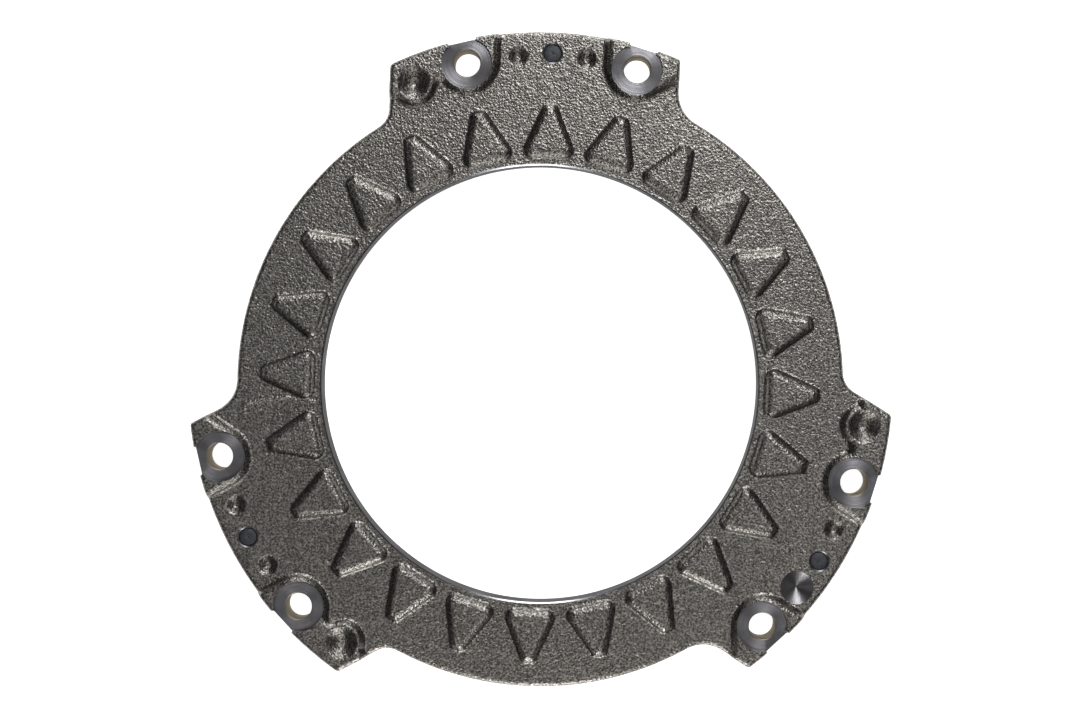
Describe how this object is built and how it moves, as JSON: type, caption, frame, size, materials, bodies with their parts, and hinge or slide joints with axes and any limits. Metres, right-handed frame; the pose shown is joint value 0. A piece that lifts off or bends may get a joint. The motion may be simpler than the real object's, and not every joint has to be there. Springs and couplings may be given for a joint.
{
  "type": "clutch pressure plate",
  "caption": "Cast clutch pressure plate: a friction ring with raised triangular pads and lugs that carry bolt holes and locating dowel pins.",
  "frame": {"origin": "on the axis of the bore, in the plane of the friction face", "axes": "+Z along the bore's axis from the friction face to the as-cast face with the pads; +Y through the first dowel pin"},
  "size_m": [0.3039, 0.285, 0.025],
  "materials": {
    "cast_iron": "sand-cast, dull, with machined faces",
    "pin_steel": "hardened, dark oxide"
  },
  "bodies": {
    "root": {"pressure_plate_casting": "cast_iron", "dowel_pin_1": "pin_steel", "dowel_pin_2": "pin_steel", "dowel_pin_3": "pin_steel"}
  },
  "joints": []
}
